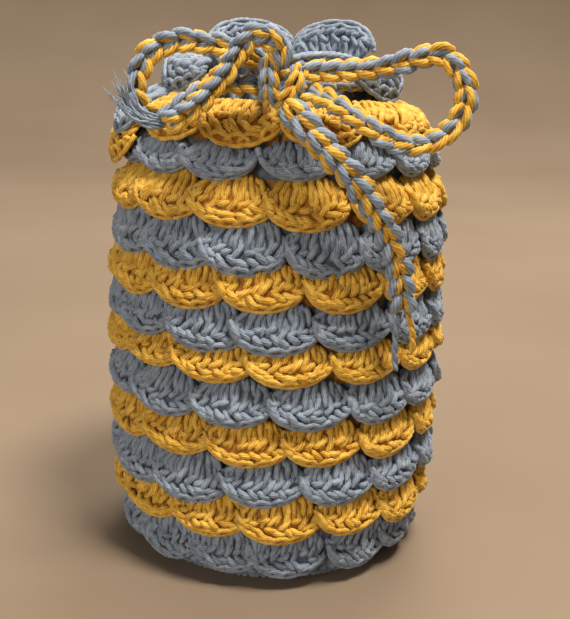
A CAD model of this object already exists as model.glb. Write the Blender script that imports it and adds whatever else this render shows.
"""The looks of a crocheted drawstring bag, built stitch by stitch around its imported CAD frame.

Lengths are in millimetres until a mesh is made. Every strand of yarn is a closed tube with six ply ridges.
A "place" function turns (across, along, out) on a surface or a line into points.
"""

import math

import bpy
import numpy as np
from mathutils import Matrix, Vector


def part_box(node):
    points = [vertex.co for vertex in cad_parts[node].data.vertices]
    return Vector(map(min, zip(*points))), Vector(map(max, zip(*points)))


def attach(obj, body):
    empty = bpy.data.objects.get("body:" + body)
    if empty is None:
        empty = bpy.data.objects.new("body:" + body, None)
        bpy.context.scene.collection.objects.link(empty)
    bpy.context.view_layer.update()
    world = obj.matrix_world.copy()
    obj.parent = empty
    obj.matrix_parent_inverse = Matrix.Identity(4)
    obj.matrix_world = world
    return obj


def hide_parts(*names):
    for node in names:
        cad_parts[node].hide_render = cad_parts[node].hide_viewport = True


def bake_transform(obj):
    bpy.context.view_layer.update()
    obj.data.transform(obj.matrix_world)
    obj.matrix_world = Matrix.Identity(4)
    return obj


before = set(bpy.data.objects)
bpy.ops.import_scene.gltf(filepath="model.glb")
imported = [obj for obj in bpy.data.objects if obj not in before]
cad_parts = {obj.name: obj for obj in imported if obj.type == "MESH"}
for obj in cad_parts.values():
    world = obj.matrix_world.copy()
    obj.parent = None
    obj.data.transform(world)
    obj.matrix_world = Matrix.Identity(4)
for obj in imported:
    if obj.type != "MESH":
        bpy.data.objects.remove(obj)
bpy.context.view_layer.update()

MM = 0.001
SCALES_PER_ROW = 14
TONGUES = 6
TONGUE_STEP = 360 / TONGUES
ROWS = sum(1 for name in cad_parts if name.startswith("scale_row_"))
UPWARD = np.array([0.0, 0.0, 1.0])
TO_VIEWER = np.array([0.0, -1.0, 0.0])

# The turn of the rounds, in degrees: the front's azimuth, the seam of row 1 from it, and each row's turn back
FRONT = -90
FIRST_SEAM = 47.8
ROW_TURN = 5.6

# Yarn: the radius of a strand, the section with its ridges, and how much it turns in each millimetre
PLIES = 6
STRAND_R = 0.74
CORD_STRAND_R = 0.8
STRAND_SIDES = 2 * PLIES
PLY_RIDGES = np.array([1.1, 0.82] * PLIES)
PLY_TWIST = 0.6
END_TAPER, NEXT_TAPER = 0.45, 0.88

# Shade: 1 on a ridge, 0 in a groove, and below 0 for what lies behind the strands
PLY_SHADE = np.array([1.0, 0.0] * PLIES)
BEHIND = -0.6

# The slots of the record that the pieces take their finish from
BLUE, YELLOW, CORD = "blue_yarn", "yellow_yarn", "drawstring"


# ---------------------------------------------------------------- small maths


def unit(v):
    """v at length 1."""
    return v / np.maximum(np.linalg.norm(v, axis=-1, keepdims=True), 1e-9)


def ease(t):
    """A smooth step from 0 to 1."""
    t = np.clip(t, 0, 1)
    return t * t * (3 - 2 * t)


def hump(t):
    """0 at both ends and 1 in the middle."""
    return np.sin(np.pi * np.clip(t, 0, 1))


def box_mm(node):
    """The low and high corners of a CAD node."""
    low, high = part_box(node)
    return np.array(low) / MM, np.array(high) / MM


def polar(r, azimuth, z):
    """Points at a radius, an azimuth in degrees and a height."""
    a = np.radians(azimuth)
    r, a, z = np.broadcast_arrays(r, a, z)
    return np.stack([r * np.cos(a), r * np.sin(a), z], -1)


def spline(route, step=0.25):
    """A smooth line through the route's points, as points a step apart."""
    p = np.array(route, float)
    p = np.vstack([2 * p[0] - p[1], p, 2 * p[-1] - p[-2]])
    t = np.linspace(0, 1, 24, endpoint=False)[:, None]
    dense = []
    for a, b, c, d in zip(p[:-3], p[1:-2], p[2:-1], p[3:], strict=True):
        dense.append(0.5 * (2 * b + (c - a) * t + (2 * a - 5 * b + 4 * c - d) * t**2
                            + (3 * b - a - 3 * c + d) * t**3))
    dense = np.vstack([*dense, p[-2:-1]])
    along = np.concatenate([[0], np.cumsum(np.linalg.norm(np.diff(dense, axis=0), axis=1))])
    count = max(4, round(along[-1] / step))
    at = np.linspace(0, along[-1], count + 1)
    return np.stack([np.interp(at, along, dense[:, i]) for i in range(3)], 1)


# ---------------------------------------------------------------- meshes


class Piece:
    """Collects closed parts in millimetres and makes one mesh of them."""

    def __init__(self, name, *materials):
        self.name = name
        self.materials = materials
        self.points, self.quads, self.paint, self.shade, self.count = [], [], [], [], 0

    def add(self, points, quads, paint=0, shade=0.0):
        """paint is the material of each face, and shade the shade of each point."""
        points = points.reshape(-1, 3)
        self.points.append(points)
        self.quads.append(quads + self.count)
        self.paint.append(np.broadcast_to(paint, len(quads)))
        self.shade.append(np.broadcast_to(np.ravel(shade), len(points)))
        self.count += len(points)

    def shape(self):
        """The mesh object."""
        points = np.vstack(self.points) * MM
        quads = np.vstack(self.quads)
        mesh = bpy.data.meshes.new(self.name)
        mesh.vertices.add(len(points))
        mesh.vertices.foreach_set("co", points.astype(np.float32).ravel())
        mesh.loops.add(quads.size)
        mesh.loops.foreach_set("vertex_index", quads.astype(np.int32).ravel())
        mesh.polygons.add(len(quads))
        mesh.polygons.foreach_set("loop_start", np.arange(0, quads.size, 4, dtype=np.int32))
        mesh.polygons.foreach_set("material_index", np.concatenate(self.paint).astype(np.int32))
        mesh.polygons.foreach_set("use_smooth", np.ones(len(quads), bool))
        for material in self.materials:
            mesh.materials.append(material)
        mesh.update(calc_edges=True)
        proud = mesh.attributes.new("proud", "FLOAT", "POINT")
        proud.data.foreach_set("value", np.concatenate(self.shade).astype(np.float32))
        obj = bpy.data.objects.new(self.name, mesh)
        bpy.context.scene.collection.objects.link(obj)
        return obj

    def make(self, slot, body=None, *nodes):
        """The mesh object, standing for the CAD nodes and riding on the body if one is given."""
        obj = self.shape()
        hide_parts(*nodes)
        if body:
            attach(obj, body)
        return obj


def strands(piece, lines, out, radius=STRAND_R, paint=0, turn=0.0):
    """Plied strands along lines, an array of (strand, point, xyz). out faces away from the work."""
    many, long, _ = lines.shape
    along = unit(np.gradient(lines, axis=1))
    side = unit(np.cross(along, out))
    up = np.cross(side, along)
    step = np.linalg.norm(np.diff(lines, axis=1), axis=2)
    length = np.concatenate([np.zeros((many, 1)), np.cumsum(step, axis=1)], axis=1)
    corner = np.arange(STRAND_SIDES) * 2 * np.pi / STRAND_SIDES
    angle = corner + (length * PLY_TWIST + np.reshape(turn, (-1, 1)))[..., None]
    size = np.broadcast_to(radius, (many, long)).copy()
    size[:, [0, -1]] *= END_TAPER
    size[:, [1, -2]] *= NEXT_TAPER
    size = size[..., None] * PLY_RIDGES
    sideways = (size * np.cos(angle))[..., None] * side[:, :, None]
    upwards = (size * np.sin(angle))[..., None] * up[:, :, None]
    points = lines[:, :, None] + (sideways + upwards)

    j = np.arange(STRAND_SIDES)
    k = (j + 1) % STRAND_SIDES
    first = np.arange(long - 1)[:, None] * STRAND_SIDES
    after = first + STRAND_SIDES
    skin = np.stack([first + j, after + j, after + k, first + k], -1).reshape(-1, 4)
    cap = np.array([[0, i, i + 1, i + 2] for i in range(1, STRAND_SIDES - 2, 2)])
    end = cap[:, ::-1] + (long - 1) * STRAND_SIDES
    one = np.vstack([skin, cap, end])
    quads = (one + (np.arange(many) * long * STRAND_SIDES)[:, None, None]).reshape(-1, 4)
    ends = np.minimum(1, 3 * hump(np.arange(long) / (long - 1)) + 0.2)
    shade = np.broadcast_to(ends[:, None] * PLY_SHADE, (many, long, STRAND_SIDES))
    piece.add(points, quads, np.repeat(np.broadcast_to(paint, many), len(one)), shade)


def slab(piece, front, back, paint=0, closed=False, shade=0.0):
    """A closed sheet between two grids of points. closed joins its last column to its first."""
    rows, columns, _ = front.shape
    points = np.concatenate([front.reshape(-1, 3), back.reshape(-1, 3)])
    grid = np.arange(rows * columns).reshape(rows, columns)
    if closed:
        grid = np.hstack([grid, grid[:, :1]])
    face = np.stack([grid[:-1, :-1], grid[:-1, 1:], grid[1:, 1:], grid[1:, :-1]], -1).reshape(-1, 4)
    under = grid + rows * columns
    rims = [(grid[0], under[0]), (under[-1], grid[-1])]
    if not closed:
        rims += [(under[:, 0], grid[:, 0]), (grid[:, -1], under[:, -1])]
    edges = [np.stack([b[:-1], b[1:], a[1:], a[:-1]], -1) for a, b in rims]
    quads = np.vstack([face, face[:, ::-1] + rows * columns, *edges])
    a, b, c = (points[quads[:, i]] for i in (0, 1, 2))
    d = points[quads[:, 3]]
    volume = np.einsum("ij,ij->", a, np.cross(b, c)) + np.einsum("ij,ij->", a, np.cross(c, d))
    painted = np.concatenate([np.ravel(np.broadcast_to(paint, (rows - 1, grid.shape[1] - 1)))] * 2)
    painted = np.concatenate([painted, np.full(len(quads) - len(painted), painted[0])])
    shade = np.tile(np.ravel(np.broadcast_to(shade, (rows, columns))), 2)
    piece.add(points, quads if volume > 0 else quads[:, ::-1], painted, shade)


# ---------------------------------------------------------------- materials


def ramp(tree, source, stops):
    node = tree.nodes.new("ShaderNodeValToRGB")
    tree.links.new(source, node.inputs["Fac"])
    elements = node.color_ramp.elements
    while len(elements) < len(stops):
        elements.new(0.5)
    for element, (position, colour) in zip(elements, stops, strict=True):
        element.position = position
        element.color = (*colour, 1)
    return node.outputs["Color"]


def noise(tree, scale, detail=2.0, stretch=(1, 1, 1)):
    """Noise in the object's own metres."""
    where = tree.nodes.new("ShaderNodeTexCoord")
    mapping = tree.nodes.new("ShaderNodeMapping")
    mapping.inputs["Scale"].default_value = stretch
    texture = tree.nodes.new("ShaderNodeTexNoise")
    texture.inputs["Scale"].default_value = scale
    texture.inputs["Detail"].default_value = detail
    tree.links.new(where.outputs["Object"], mapping.inputs["Vector"])
    tree.links.new(mapping.outputs["Vector"], texture.inputs["Vector"])
    return texture.outputs["Fac"]


def bump(tree, shader, height, strength, distance):
    node = tree.nodes.new("ShaderNodeBump")
    node.inputs["Strength"].default_value = strength
    node.inputs["Distance"].default_value = distance
    tree.links.new(height, node.inputs["Height"])
    tree.links.new(node.outputs["Normal"], shader.inputs["Normal"])


def yarn(name, deep, middle, light, sheen):
    """Worsted yarn: dark in its grooves and light on its ridges, with fine fibres and a soft sheen."""
    material = bpy.data.materials.new(name)
    material.use_nodes = True
    tree = material.node_tree
    shader = tree.nodes["Principled BSDF"]
    proud = tree.nodes.new("ShaderNodeAttribute")
    proud.attribute_name = "proud"
    tone = tree.nodes.new("ShaderNodeMath")
    tone.operation = "MULTIPLY_ADD"
    tone.inputs[1].default_value = 0.42
    tree.links.new(proud.outputs["Fac"], tone.inputs[0])
    tree.links.new(noise(tree, 420, 3.0), tone.inputs[2])
    stops = [(0.34, deep), (0.66, middle), (1.04, light)]
    tree.links.new(ramp(tree, tone.outputs["Value"], stops), shader.inputs["Base Color"])
    rough = ramp(tree, noise(tree, 900, 1.0), [(0.3, (0.55,) * 3), (0.7, (0.8,) * 3)])
    tree.links.new(rough, shader.inputs["Roughness"])
    shader.inputs["Specular IOR Level"].default_value = 0.4
    shader.inputs["Sheen Weight"].default_value = 0.35
    shader.inputs["Sheen Roughness"].default_value = 0.4
    shader.inputs["Sheen Tint"].default_value = (*sheen, 1)
    bump(tree, shader, noise(tree, 3800, 2.0), 0.5, 0.0002)
    return material


def paper():
    """The matt paper of the floor."""
    material = bpy.data.materials.new("paper")
    material.use_nodes = True
    tree = material.node_tree
    shader = tree.nodes["Principled BSDF"]
    stops = [(0.35, (0.225, 0.177, 0.132)), (0.65, (0.248, 0.198, 0.151))]
    tree.links.new(ramp(tree, noise(tree, 6), stops), shader.inputs["Base Color"])
    shader.inputs["Roughness"].default_value = 0.85
    return material


blue_yarn = yarn(
    "blue_yarn",
    deep=(0.095, 0.128, 0.185),
    middle=(0.225, 0.3, 0.42),
    light=(0.37, 0.465, 0.61),
    sheen=(0.8, 0.87, 1.0),
)
yellow_yarn = yarn(
    "yellow_yarn",
    deep=(0.37, 0.15, 0.009),
    middle=(0.7, 0.41, 0.04),
    light=(0.92, 0.66, 0.14),
    sheen=(1.0, 0.9, 0.6),
)
# Odd rows are blue and even rows yellow
row_yarn = {1: blue_yarn, 0: yellow_yarn}
row_slot = {1: BLUE, 0: YELLOW}


# ---------------------------------------------------------------- stitches

# A shell's half width and depth in millimetres, and how far its rim runs up each side, as a part of the rim
SHELL_HALF = 10.3
SHELL_DEPTH = 11
RIM_RISE = 0.16
# The two tiers of stitch heads: level on the shell, slant and half width
HEAD_TIERS = ((0.57, -0.2, 0.15), (0.74, 0.16, 0.17))


def shell(piece, place, rng, posts=8, links=8, faces=(1,)):
    """A crocheted shell: a fan of two-strand posts, the stitch heads under them, and a chain round its edge.

    place(u, v, h) takes u from -1 to 1 across, v from 0 at the root to 1 at the edge, and h out.
    faces says which of its sides show stitches: 1 the front, -1 the back.
    """

    def lay(u, v, h, radius, turn):
        line = place(u, v, h)
        strands(piece, line, place(u, v, h + 1) - line, radius, 0, turn)

    # Backing: the shell's own thickness behind its strands
    u, v = np.meshgrid(np.linspace(-0.97, 0.97, 13), np.linspace(0, 0.94, 8))
    front, back = (place(u, v, np.full_like(u, h)) for h in (0.05, -0.3))
    slab(piece, front, back, shade=BEHIND)

    for face in faces:
        # Posts: two strands turned round each other
        t = np.linspace(0, 1, 9)
        middle = (np.arange(posts) - (posts - 1) / 2) * 2 / posts
        middle = middle + rng.normal(0, 0.03, posts)
        turns = rng.uniform(0.4, 1.0, posts)
        begin = rng.uniform(-1.0, 1.0, posts)
        reach = 0.6 + rng.normal(0, 0.05, (posts, 1))
        lift = rng.normal(0.15, 0.12, (posts, 1))
        for side in (-1, 1):
            angle = begin[:, None] + 2 * np.pi * turns[:, None] * t
            u = middle[:, None] + side * 0.07 * np.cos(angle)
            v = 0.02 + reach * t
            h = side * 0.5 * np.sin(angle) + lift
            lay(u, v, face * h, STRAND_R, rng.uniform(0, 1.5, posts))

        # Heads: slanted loops in two uneven tiers below the posts
        t = np.linspace(0, 1, 7)
        for tier, (level, slant, wide) in enumerate(HEAD_TIERS):
            count = posts + tier
            middle = (np.arange(count) - (count - 1) / 2) * 2 / count + rng.normal(0, 0.03, count)
            lean = rng.uniform(0.1, 1.7, (count, 1))
            u = middle[:, None] + wide * (2 * t - 1) * rng.uniform(0.75, 1.25, (count, 1))
            v = level + slant * lean * (t - 0.5) + rng.normal(0, 0.03, (count, 1))
            h = 0.1 + rng.uniform(0.3, 1.15, (count, 1)) * hump(t)
            lay(u, v, face * h, STRAND_R * rng.uniform(0.95, 1.15), rng.uniform(0, 1.5, count))

    # Rim: chain stitches, the front leg of each above its back leg
    t = np.linspace(0, 1, 9)
    pitch = (1 + RIM_RISE) / links
    start = -RIM_RISE + pitch * (np.arange(links)[:, None] - 0.1)
    start = start + rng.normal(0, 0.012, (links, 1))
    legs = [(1.15, 0.75 * face, 0.88) for face in faces] + [(-0.35, -0.25, 0.86)]
    for inset, out, thick in legs:
        s = start + pitch * 1.5 * t
        edge = np.clip(s, 0, 1)
        below = np.minimum(s, 0) / RIM_RISE
        shift = 0.1 + inset * hump(t)
        u = -np.cos(np.pi * edge) * (1 - shift / SHELL_HALF)
        v = 0.94 + 0.55 * below - shift / SHELL_DEPTH
        lay(u, v, np.sign(out) * 0.1 + out * hump(t), STRAND_R * thick, rng.uniform(0, 1.5, links))


def chain(piece, line, up, pitch, rng, scale=1.0):
    """A chain-stitch cord of a blue and a yellow yarn held together. Its front faces up at the start."""
    along = unit(np.gradient(line, axis=0))
    out = np.empty_like(line)
    out[0] = unit(up - along[0] * (along[0] @ up))
    for i in range(1, len(line)):
        out[i] = unit(out[i - 1] - along[i] * (along[i] @ out[i - 1]))
    side = np.cross(along, out)
    step = np.linalg.norm(np.diff(line, axis=0), axis=1)
    reach = np.concatenate([[0], np.cumsum(step)])
    links = max(2, round(reach[-1] / pitch))
    pitch = reach[-1] / links

    def at(values, s):
        return np.stack([np.interp(s, reach, values[:, i]) for i in range(3)], -1)

    def place(s, x, h):
        s = np.clip(s, 0, reach[-1])
        return at(line, s) + x[..., None] * at(side, s) + h[..., None] * at(out, s)

    roll = np.cumsum(rng.normal(0, 0.9, (links, 2)), axis=0) + rng.uniform(0, 2 * np.pi, 2)
    begin = (np.arange(links) * pitch)[:, None]
    t = np.linspace(0, 1, 11)
    for column, leg in enumerate((-1, 1)):
        s = begin + pitch * (1.4 * t - 0.1)
        flare = np.sin(np.pi / 2 * np.minimum(t / 0.72, 1))
        x = scale * leg * (0.1 + 1.4 * flare - 0.9 * ease((t - 0.74) / 0.26)) * np.ones_like(s)
        h = scale * (0.2 + 0.8 * hump(t / 0.85) - 1.3 * ease((t - 0.6) / 0.4)) * np.ones_like(s)
        spread = 0.58 * scale * (0.5 + 0.5 * hump(t))
        angle = roll[:, column][:, None] + 0.5 * t
        for paint, sign in ((0, 1), (1, -1)):
            u = x + sign * leg * spread * np.cos(angle)
            w = h + sign * spread * np.sin(angle)
            middle = place(s, u, w)
            out_of_work = place(s, u, w + 1) - middle
            strands(piece, middle, out_of_work, CORD_STRAND_R * scale, paint, rng.uniform(0, 1.5, links))
    t = np.linspace(0, 1, 8)
    for paint, sign in ((0, 1), (1, -1)):
        s = begin + pitch * (1.25 * t - 0.1)
        x = scale * sign * (0.45 - 0.9 * t) * np.ones_like(s)
        h = -scale * (0.75 + 0.5 * hump(t)) * np.ones_like(s)
        middle = place(s, x, h)
        out_of_work = place(s, x, h + 1) - middle
        strands(piece, middle, out_of_work, STRAND_R * scale, paint, rng.uniform(0, 1.5, links))


def stitch_relief(across, along):
    """How far plain crochet stands out, from 0 to 1, at a place counted in stitches and rounds.

    Each stitch is a pair of legs that lean towards each other at the top."""
    x = across + 0.5 * (np.floor(along) % 2)
    x = x - np.floor(x)
    y = along - np.floor(along)
    left = np.abs(x - 0.22 - 0.14 * y) / 0.2
    right = np.abs(x - 0.78 + 0.14 * y) / 0.2
    near = np.minimum(left, right)
    return np.sqrt(np.clip(1 - near**2, 0, 1)) * (0.45 + 0.55 * hump(y))


# ---------------------------------------------------------------- the bag's body

# A scale's least height, and how far its lower part stands in from the edge of its CAD row
MIN_SCALE_HEIGHT = 9.8
SKIRT_INSET = 3.8
# How far each round sags below its even spacing
ROW_SAG = {1: 2.8, 2: 1.4, 3: 1.9, 4: 1.0, 5: 0.6, 6: -0.6, 7: 1.7, 8: 1.0, 9: 2.2, 10: 1.2, 11: -0.2}
# The wall: its thickness, the stitches in a round, the height of a round, and the depth of a stitch
WALL_THICK = 2.5
WALL_STITCHES = 84
WALL_ROUND = 3.33
WALL_RELIEF = 0.7
# The base: the width of a ring
BASE_ROUND = 3.4


def wall_radius():
    """The CAD wall's outer radius as a function of height."""
    points = np.array([v.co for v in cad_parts["bag_wall"].data.vertices]) / MM
    radius = np.hypot(points[:, 0], points[:, 1])
    heights = np.unique(np.round(points[:, 2], 1))
    reach = [radius[np.abs(points[:, 2] - z) < 0.1].max() for z in heights]
    return lambda z: np.interp(z, heights, reach)


def scale_place(low, high, sag, wall_at, centre, rng):
    """The surface of a scale in a round: rooted at the wall, swelling outwards, its left side on top."""
    edge, tall = low[2], max(high[2] - low[2], MIN_SCALE_HEIGHT)
    skirt = high[0] - SKIRT_INSET + rng.normal(0, 0.2)
    sag = sag + rng.normal(0, 0.4)
    puff = 1.2 + rng.normal(0, 0.2)
    half = 360 / SCALES_PER_ROW / 2 * (1 + rng.normal(0, 0.02))
    centre = centre + rng.normal(0, 0.5)
    lean = rng.normal(0, 0.06)

    def place(u, v, h):
        scallop = (6.6 - 0.7 * u) * (1 - np.sqrt(np.clip(1 - 0.97 * u * u, 0, 1)))
        bottom = edge + 0.6 - sag + scallop
        top = edge + tall + 0.7 - 2.4 * u * u
        z = top + (bottom - top) * v
        root = wall_at(z) + 0.7
        r = root + (skirt - root) * ease(v / 0.68) + 1.4 * ease((v - 0.5) / 0.4)
        r = r + puff * hump((v - 0.06) / 0.94) * (1 - u * u) - 0.75 * u * ease(v / 0.4) + h
        return polar(r, centre + (u * (0.76 + 0.28 * ease(v / 0.45)) + lean * v) * half, z)

    return place


def scale_row(k, wall_at):
    """Round k of scales. Each round's seams stand a little back from those of the round below."""
    name = f"scale_row_{k}"
    low, high = box_mm(name)
    rng = np.random.default_rng(100 + k)
    piece = Piece(f"scales_{k}", row_yarn[k % 2])
    seam = FRONT + FIRST_SEAM - ROW_TURN * (k - 1)
    for i in range(SCALES_PER_ROW):
        centre = seam + (i + 0.5) * 360 / SCALES_PER_ROW
        shell(piece, scale_place(low, high, ROW_SAG[k], wall_at, centre, rng), rng)
    piece.make(row_slot[k % 2], "bag", name)


def wall(wall_at):
    """The tube behind the scales: plain rounds that change colour with the scales worked on them."""
    low, high = box_mm("bag_wall")
    piece = Piece("wall_fabric", blue_yarn, yellow_yarn)
    first = box_mm("scale_row_1")[0][2]
    rise = box_mm("scale_row_2")[0][2] - first
    columns = 3 * WALL_STITCHES
    turn = np.arange(columns) / columns * 360
    z = np.linspace(low[2], high[2], 140)
    turn, z = np.meshgrid(turn, z)
    relief = stitch_relief(turn / 360 * WALL_STITCHES, z / WALL_ROUND)
    row = np.maximum(np.floor((z[:-1] - first) / rise), 0).astype(int)
    outer = polar(wall_at(z) - WALL_RELIEF + WALL_RELIEF * relief, turn, z)
    inner = polar(wall_at(z) - WALL_THICK + WALL_RELIEF - WALL_RELIEF * relief, turn, z)
    # Dark behind the scales, and lighter near the floor, where the wall shows under row 1
    dark = BEHIND * (1.6 - 1.2 * ease((7 - z) / 3))
    slab(piece, outer, inner, row % 2, closed=True, shade=relief + dark)
    piece.make(BLUE, "bag", "bag_wall")


def base():
    """The flat round that the bag stands on, worked in rings from the middle."""
    low, high = box_mm("base_disc")
    reach = high[0] - 1.2
    piece = Piece("base_rounds", blue_yarn)
    turn = np.arange(360)
    r = np.linspace(0.4, reach, 90)
    turn, r = np.meshgrid(turn, r)
    ring = r / BASE_ROUND
    stitches = 6 * (np.floor(ring) + 1)
    edge = ease((r - reach + 3) / 3)
    relief = stitch_relief(turn / 360 * stitches, ring) * (1 - 0.8 * edge)
    lift = 2.4 * edge**2
    under = polar(r, turn, low[2] + 0.8 - 0.8 * relief + lift)
    upper = polar(r, turn, high[2] - 0.6 + 0.6 * relief)
    slab(piece, upper, under, closed=True, shade=relief + 0.5 * BEHIND * edge)
    piece.make(BLUE, "bag", "base_disc")


# ---------------------------------------------------------------- the gathered mouth

# The gathers of the mouth: their depth, and the degrees from one to the next
PLEAT = 1.1
PLEAT_TURN = 11.8
# An outer tongue is yellow below this height and blue above it
NECK_STRIPE_Z = 122.5
# The middle line of each layer of tongues, as radius and height, from the hinge to the edge
OUTER_PROFILE = [[36.4, 114.2], [36.2, 117.6], [30.8, 121.8], [24.9, 125], [23.2, 132.8]]
INNER_PROFILE = [[34.2, 111.8], [32.7, 114.9], [25.8, 118.9], [17.0, 121.8], [14.6, 127.4]]
# A petal turned out, a scale of the collar, and the scales that the bow draws down at the left: each is
# its root, its bend and its edge, as radius and height
PETAL_TURNED_OUT = ([24.0, 131.8], [30.0, 136.0], [32.6, 123.6])
COLLAR = ([30.2, 123.8], [38.2, 123.0], [41.4, 113.8])
COLLAR_RIGHT = ([29.2, 122.2], [36.4, 121.6], [40.4, 113.2])
COLLAR_DRAWN_DOWN = ([32.0, 122.0], [44.5, 118.5], [45.6, 105.6])
BLUE_DRAWN_DOWN = ([29.0, 125.5], [42.0, 123.5], [45.4, 113.8])
# The azimuths of the petals that are turned out, and how far the others stand off their tongue's middle
TURNED_OUT_AT = {1: -32, 4: 207}
PETAL_TURN = 5
# The foot of a petal, the foot of one on an inner tongue, and the most that its top may reach
PETAL_FOOT_R = 23.4
INNER_FOOT_R = 14.8
INNER_FOOT_Z = 126.8
INNER_TOP_Z = 130.5
# Degrees from a tongue's middle to the middle of a collar scale, and from there to the scale's side
COLLAR_OFFSET = 14.6
COLLAR_HALF = 14.3
# The blue scale that is drawn down over the collar
LEFT_BLUE_AT = 200
# Where a piece that hangs over the rim bends: the radius of the rim, and the heights it bends between
RIM_R = 36.0


def tongue_cloth(name, slot, profile, azimuth, node):
    """One tongue of the mouth as plain crochet, gathered towards its edge, and blended at its hinge."""
    piece = Piece(name, blue_yarn, yellow_yarn)
    line = spline([[r, 0, z] for r, z in profile], 0.5)
    normal = np.cross(unit(np.gradient(line, axis=0)), [0, 1, 0])
    half = TONGUE_STEP / 2 - 0.5
    turn = np.linspace(-half, half, 90)
    along = np.arange(len(line))[:, None] * 0.5
    relief = stitch_relief(turn[None] / 5, along / 3.2)
    size, period = (PLEAT, PLEAT_TURN) if slot == YELLOW else (0.7 * PLEAT, 1.6 * PLEAT_TURN)
    gather = size * ease(along / along.max() * 1.6 - 0.3) * np.sin(np.radians(turn * 360 / period))
    for_side = {}
    for side in (-1, 1):
        out = side * (0.3 + 0.55 * relief) + gather
        r = line[:, None, 0] + out * normal[:, None, 0]
        z = line[:, None, 2] + out * normal[:, None, 2]
        for_side[side] = polar(r, azimuth + turn[None], z)
    low_part = (slot == YELLOW) & (line[:-1, 2] < NECK_STRIPE_Z)
    under = 1.8 * (line[:, 2] < 118) + 0.8 * (line[:, 2] > NECK_STRIPE_Z)
    dark = relief * np.clip(0.6 + gather, 0, 1) + BEHIND * under[:, None]
    slab(piece, for_side[1], for_side[-1], low_part[:, None].astype(int), shade=dark)
    for rim in (-0.6, 0.6):
        edge = polar(line[-1, 0] + rim + gather[-1], azimuth + turn, line[-1, 2] + 0.3)
        strands(piece, edge[None], np.broadcast_to(UPWARD, (1, *edge.shape)), 0.85)
    obj = piece.make(slot, None, node)
    start, end = (polar(r, azimuth, z) * MM for r, z in (profile[0], profile[2]))
    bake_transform(obj)


def petal_place(azimuth, foot_r, foot_z, top_z, lean, width, radius, rng):
    """The surface of a petal that stands at the neck, its rounded edge on top.

    It is part of a circle of the given radius, and at most width degrees to each side."""
    tall = top_z - foot_z
    reach = math.sqrt(radius**2 - max(radius - tall, 0) ** 2)
    half = min(width, math.degrees(reach / foot_r))
    cup = rng.uniform(0.4, 1.0)

    def place(u, v, h):
        round_off = 1 - 0.62 * (1 - np.sqrt(np.clip(1 - 0.97 * u * u, 0, 1)))
        z = foot_z - 0.5 + (tall - 0.4) * v * round_off
        r = foot_r + lean * v - cup * (1 - u * u) * hump(v) + h
        return polar(r, azimuth - u * half * (0.86 + 0.16 * ease(v / 0.5)), z)

    return place


def collar_place(azimuth, root, bend, edge, half, rng):
    """The surface of a scale that starts on a tongue, turns over at the rim, and hangs down."""
    root, bend, edge = (np.array(p, float) for p in (root, bend, edge))
    puff = rng.uniform(0.3, 0.7)

    def place(u, v, h):
        v = v * (1 - 0.4 * (1 - np.sqrt(np.clip(1 - 0.97 * u * u, 0, 1))))
        t = v[..., None]
        line = (1 - t) ** 2 * root + 2 * t * (1 - t) * bend + t**2 * edge
        slope = unit(2 * (1 - t) * (bend - root) + 2 * t * (edge - bend))
        h = h + puff * hump(v) * (1 - u * u) - 0.35 * u
        r = line[..., 0] - slope[..., 1] * h
        z = line[..., 1] + slope[..., 0] * h
        return polar(r, azimuth + u * half * (0.9 + 0.14 * ease(v / 0.5)), z)

    return place


def petal(k, rng):
    """The petal of outer tongue k. Those at the sides turn out over the drawstring."""
    low, high = box_mm(f"petal_{k}")
    piece = Piece(f"petal_shell_{k}", blue_yarn)
    tall = high[2] - low[2]
    if k in TURNED_OUT_AT:
        place = collar_place(TURNED_OUT_AT[k], *PETAL_TURNED_OUT, 20, rng)
        shell(piece, place, rng, posts=7, faces=(1, -1))
    else:
        azimuth = TONGUE_STEP * (k - 1) - PETAL_TURN
        lean = 0.3 * tall
        place = petal_place(azimuth, PETAL_FOOT_R, low[2], high[2], lean, width=28.5, radius=12, rng=rng)
        count = 7 if tall > 6 else 5
        shell(piece, place, rng, posts=count, links=count, faces=(1, -1))
    piece.make(BLUE, f"outer_tongue_body_{k}", f"petal_{k}")


def hang(piece, slot, k, *nodes):
    """A piece that starts on tongue k and hangs over the rim: its root swings, its edge stays."""
    obj = piece.make(slot, None, *nodes)
    centre = polar(RIM_R, TONGUE_STEP * (k - 1), 0.0)
    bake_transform(obj)


def collar(k, rng):
    """The two yellow scales over the root of outer tongue k."""
    piece = Piece(f"collar_shells_{k}", yellow_yarn)
    lines = {side: COLLAR_RIGHT if k == 1 else COLLAR for side in (-1, 1)}
    if k == 4:
        lines[1] = COLLAR_DRAWN_DOWN
    for side, line in lines.items():
        azimuth = TONGUE_STEP * (k - 1) + side * COLLAR_OFFSET
        shell(piece, collar_place(azimuth, *line, COLLAR_HALF, rng), rng)
    hang(piece, YELLOW, k, f"collar_scales_{k}")


def left_blue_scale():
    """A blue scale of the next round up, drawn down over the collar by the bow."""
    piece = Piece("left_blue_shell", blue_yarn)
    rng = np.random.default_rng(19)
    shell(piece, collar_place(LEFT_BLUE_AT, *BLUE_DRAWN_DOWN, 10, rng), rng, posts=5, links=6)
    hang(piece, BLUE, 4)


def inner_petal(k, azimuth, rng):
    """The small petal on the edge of inner tongue k."""
    node = f"inner_tongue_{k}"
    top = min(box_mm(node)[1][2], INNER_TOP_Z)
    piece = Piece(f"inner_shell_{k}", blue_yarn)
    place = petal_place(azimuth, INNER_FOOT_R, INNER_FOOT_Z, top, lean=1.2, width=26, radius=10, rng=rng)
    shell(piece, place, rng, posts=3, links=4, faces=(1, -1))
    piece.make(BLUE, f"inner_tongue_body_{k}", node)


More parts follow.
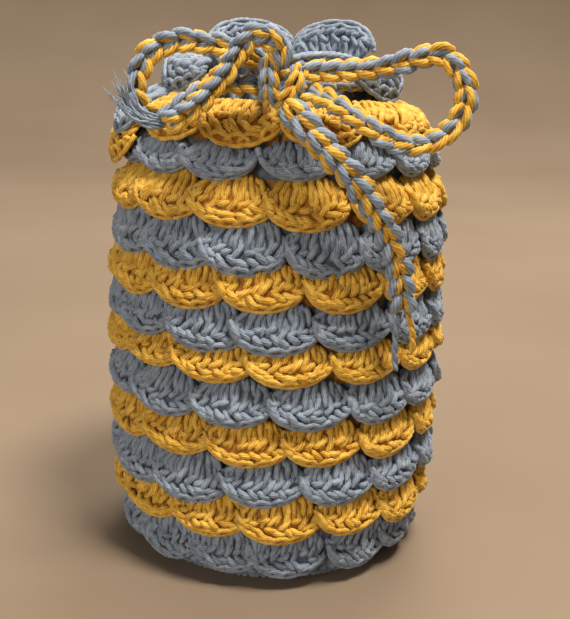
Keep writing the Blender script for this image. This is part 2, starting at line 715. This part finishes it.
def mouth():
    for k in range(1, TONGUES + 1):
        rng = np.random.default_rng(200 + k)
        outer_at = TONGUE_STEP * (k - 1)
        inner_at = outer_at + TONGUE_STEP / 2
        tongue_cloth(f"outer_cloth_{k}", YELLOW, OUTER_PROFILE, outer_at,
                     f"outer_tongue_{k}")
        collar(k, rng)
        petal(k, rng)
        tongue_cloth(f"inner_cloth_{k}", BLUE, INNER_PROFILE, inner_at,
                     f"inner_tongue_{k}")
        inner_petal(k, inner_at, rng)
    left_blue_scale()


# ---------------------------------------------------------------- the drawstring

CORD_PITCH = 4.0
CORD_SCALE = 1.06
# The right tail was worked more loosely
TAIL_PITCH = 4.7
TAIL_SCALE = 1.28
# The height of the CAD's eyelets. The drawn cloth has none
EYELET_Z = 128.3
NECK_CORD_R = 28.2
HIDDEN_CORD_R = 18.9
# Routes. The loops and the tails start at the knot
KNOT = np.array([0, -42.5, 129])
RIGHT_LOOP = [[5, -42.5, 132.2], [12, -44, 132.5], [22, -45.5, 133.5], [30, -46.5, 136], [36, -47.5, 136.5],
              [40, -48.5, 132], [41, -49.5, 126.5], [38, -50.5, 120.5], [31.5, -51, 117], [24.5, -51.5, 118],
              [18, -51.5, 121.5], [12, -49, 125], [5.6, -44, 127.3]]
LEFT_LOOP = [[-4.5, -42, 133], [-10, -43, 136], [-16.5, -44, 137.5], [-23.5, -45, 138], [-29.5, -46, 135.5],
             [-32.5, -47, 130], [-32, -48, 124.5], [-28.5, -48.5, 121], [-24, -48.5, 122.5],
             [-19.5, -47.5, 126], [-14, -46, 128.5], [-5.9, -43.5, 128.5]]
LEFT_TAIL = [[-0.5, -46, 133.5], [-0.9, -46.9, 137.3], [-3.2, -47.8, 139.5], [-6.4, -48.6, 139.8],
             [-9.4, -49.5, 137.6], [-13, -51, 131.5], [-16.5, -52.5, 127], [-20.5, -53.5, 123],
             [-25, -54, 120.5]]
RIGHT_TAIL = [[1.5, -46.5, 124.8], [5, -50, 121], [10.5, -52, 115.5], [16.5, -51.5, 109.5],
              [21.5, -49.5, 103], [25.5, -47, 96], [28.5, -45, 88.5], [30, -43.5, 81.5], [30.5, -42.8, 77]]
FRINGE = [[-25.8, -54, 120.2], [-29.5, -54, 121], [-33, -53.5, 124], [-35.5, -53, 128.5]]
BLUE_END = [[30, -42.5, 76.3], [29.5, -42, 72], [29.5, -41.5, 66], [30, -41.2, 61]]
YELLOW_END = [[32, -42, 76], [33.5, -41, 71], [34, -40.5, 66]]
LEAD = [[2.6, -37.6, 130], [3, -34.5, 130.6], [3.2, -31, 130.6]]


def free_cord(name, route, seed, pieces=(), scale=CORD_SCALE, pitch=CORD_PITCH):
    """A loop or a tail of the bow, on its own body beyond its root and on the bow at the root.

    The left tail turns down again past its root, so the blend leaves its hanging part on the bow."""
    piece = Piece(f"{name}_chain", blue_yarn, yellow_yarn)
    line = spline(route)
    chain(piece, line, TO_VIEWER, pitch, np.random.default_rng(seed), scale)
    obj = piece.make(CORD, None, name)
    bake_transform(obj)


def fringe():
    """The frayed yarn at the end of the left tail: loose plies that fan out."""
    piece = Piece("left_fringe_plies", blue_yarn)
    rng = np.random.default_rng(31)
    line = spline(FRINGE, 1.0)
    t = np.linspace(0, 1, len(line))
    many = 22
    spread = rng.normal(0, 1, (many, 1, 3)) * np.array([1.3, 0.7, 1.7])
    wave = 0.35 * np.sin(2 * np.pi * (t[None, :, None] * 1.7 + rng.uniform(0, 1, (many, 1, 3))))
    lines = line[None] + spread * (0.35 + 1.0 * t[None, :, None] ** 1.3) + wave
    radius = 0.3 - 0.2 * t
    strands(piece, lines, np.broadcast_to(TO_VIEWER, lines.shape), radius, 0, rng.uniform(0, 1.5, many))
    return piece.make("frayed_yarn", "left_tail_body", "left_fringe")


def yarn_ends():
    """The two loose ends under the right tail, each of two plies turned round each other."""
    piece = Piece("right_loose_ends", blue_yarn, yellow_yarn)
    for paint, route in enumerate((BLUE_END, YELLOW_END)):
        line = spline(route, 0.7)
        angle = np.arange(len(line)) * 0.7
        for side in (0, np.pi):
            turned = np.stack([np.cos(angle + side), np.sin(angle + side), 0 * angle], 1) * 0.42
            strands(piece, (line + turned)[None], np.broadcast_to(TO_VIEWER, (1, *line.shape)), 0.48, paint)
    return piece.make("loose_yarn", "right_tail_body", "right_yarn_ends")


def arc(centre, across, over, radius, begin, end):
    """Points on a circle about a centre, from the direction across towards the direction over, in degrees."""
    a = np.radians(np.linspace(begin, end, 60))[:, None]
    across, over = (unit(np.array(way, float)) for way in (across, over))
    return centre + radius * (np.cos(a) * across + np.sin(a) * over)


def knot():
    """Four wraps and two leads to the neck. A wrap is an arc: centre, two directions, radius and ends."""
    piece = Piece("bow_knot_wraps", blue_yarn, yellow_yarn)
    rng = np.random.default_rng(41)
    wraps = [
        (KNOT + [-2.6, 0, 1], (0, 0.2, 1), (-0.1, -1, 0.1), 4.4, -20, 200),
        (KNOT + [1.6, -0.3, -0.5], (0.5, 0.1, 1), (0.2, -1, 0), 3.9, -10, 190),
        (KNOT + [0, 1, 0], (1, 0.1, 0.3), (0, -1, 0.2), 3.2, -40, 220),
        (KNOT + [0, 0.5, -1], (1, 0, -0.5), (0, -1, -0.3), 3.2, -30, 210),
    ]
    for centre, across, over, radius, begin, end in wraps:
        line = arc(centre, across, over, radius, begin, end)
        chain(piece, line, line[0] - centre, 3.6, rng, 0.9)
    for side in (-1, 1):
        line = spline([[side * x, y, z] for x, y, z in [[1.8, -41, 129.6], *LEAD]])
        chain(piece, line, UPWARD, 3.4, rng, 0.72)
    piece.make(CORD, "bow", "bow_knot")


def neck_cords():
    """The drawstring round the neck: over each outer tongue, and across the inner tongues between them."""
    for k in range(1, TONGUES + 1):
        rng = np.random.default_rng(300 + k)
        azimuth = TONGUE_STEP * (k - 1)
        # Each point is a turn off the tongue's middle and a radius. Beside the bow the cord stays outside
        first = [(-19, 19.9), (-18, 23), (-18, 26.4)]
        last = [(18, 26.4), (18, 23), (19, 19.9)]
        if k == 6:
            first = [(-27, NECK_CORD_R), (-20, NECK_CORD_R)]
        if k == 5:
            last = [(20, NECK_CORD_R), (27, NECK_CORD_R)]
        over = [(turn, NECK_CORD_R) for turn in (-12, -4, 4, 12)]
        route = [polar(r, azimuth + turn, EYELET_Z) for turn, r in (*first, *over, *last)]
        piece = Piece(f"neck_chain_{k}", blue_yarn, yellow_yarn)
        chain(piece, spline(route), polar(0.01, azimuth, 1.0), 3.6, rng, 0.74)
        piece.make(CORD, f"outer_tongue_body_{k}", f"neck_cord_{k}")
        if k != 5:
            turn = np.linspace(-5, 5, 16)
            piece = Piece(f"hidden_chain_{k}", blue_yarn, yellow_yarn)
            line = polar(HIDDEN_CORD_R, azimuth + TONGUE_STEP / 2 + turn, EYELET_Z)
            chain(piece, line, UPWARD, 1.7, rng, 0.7)
            piece.make(CORD, f"inner_tongue_body_{k}", f"hidden_cord_{k}")


def drawstring():
    free_cord("left_loop", LEFT_LOOP, 51)
    free_cord("right_loop", RIGHT_LOOP, 52)
    free_cord("left_tail", LEFT_TAIL, 53, [fringe()])
    free_cord("right_tail", RIGHT_TAIL, 54, [yarn_ends()],
              TAIL_SCALE, TAIL_PITCH)
    knot()
    neck_cords()


# ---------------------------------------------------------------- the stage


WARM = (1.0, 0.88, 0.74)
# The camera: a lens length and sensor in millimetres, a place in metres, and degrees down and round
LENS = 67.04
SENSOR = 36
CAMERA_PLACE = (0.002387, -0.289334, 0.141126)
CAMERA_DOWN = 14.779
CAMERA_ROLL = 1.991


def floor():
    """A plain round sweep: flat under the bag and curving up all round it."""
    flat, bend, high = 750, 850, 1400
    rise = np.radians(np.linspace(0, 90, 16))
    r = np.concatenate([[1, 400], flat + bend * np.sin(rise), [flat + bend]])
    z = np.concatenate([[0, 0], bend * (1 - np.cos(rise)), [high]])
    turn = np.arange(0, 360, 5)
    points = polar(r[:, None], turn[None], z[:, None])
    grid = np.arange(points.size // 3).reshape(len(r), len(turn))
    grid = np.hstack([grid, grid[:, :1]])
    faces = np.stack([grid[:-1, :-1], grid[1:, :-1], grid[1:, 1:], grid[:-1, 1:]], -1).reshape(-1, 4)
    middle = np.array([[0, i, i + 1, i + 2] for i in range(1, len(turn) - 2, 2)])
    piece = Piece("floor_sweep", paper())
    piece.add(points, faces)
    piece.add(polar(1, turn, 0), middle)
    piece.shape()


def lamp(name, place, target, size, power, colour):
    """A round area light, its size and places in metres and its power in watts."""
    data = bpy.data.lights.new(name, "AREA")
    data.shape = "DISK"
    data.size = size
    data.energy = power
    data.color = colour
    obj = bpy.data.objects.new(name, data)
    bpy.context.scene.collection.objects.link(obj)
    away = Matrix.Translation(place).translation - Matrix.Translation(target).translation
    obj.matrix_world = Matrix.Translation(place) @ away.to_track_quat("Z", "Y").to_matrix().to_4x4()


def lights():
    middle = (0, 0, 0.08)
    lamp("key", (0.22, -0.3, 0.95), middle, 0.26, 12, (1.0, 0.86, 0.7))
    lamp("fill", (-0.5, -0.9, 0.3), middle, 0.6, 4.4, WARM)
    lamp("back", (0.2, 0.7, 0.8), middle, 0.6, 6.5, WARM)
    lamp("backdrop", (0, 0.3, 1.1), (0, 1.5, 0.2), 0.6, 9, WARM)
    world = bpy.data.worlds.new("room")
    world.use_nodes = True
    background = world.node_tree.nodes["Background"]
    background.inputs["Color"].default_value = (0.9, 0.82, 0.72, 1)
    background.inputs["Strength"].default_value = 0.25
    bpy.context.scene.world = world


def camera():
    data = bpy.data.cameras.new("camera")
    data.sensor_fit = "HORIZONTAL"
    data.sensor_width = SENSOR
    data.lens = LENS
    data.clip_start = 0.01
    obj = bpy.data.objects.new("camera", data)
    bpy.context.scene.collection.objects.link(obj)
    place = Matrix.Translation(CAMERA_PLACE)
    pitch = Matrix.Rotation(math.radians(90 - CAMERA_DOWN), 4, "X")
    roll = Matrix.Rotation(math.radians(CAMERA_ROLL), 4, "Z")
    obj.matrix_world = place @ pitch @ roll
    bpy.context.scene.camera = obj


base()
wall_line = wall_radius()
wall(wall_line)
for number in range(1, ROWS + 1):
    scale_row(number, wall_line)
mouth()
drawstring()
floor()
lights()
camera()
bpy.context.scene.view_settings.view_transform = "Standard"
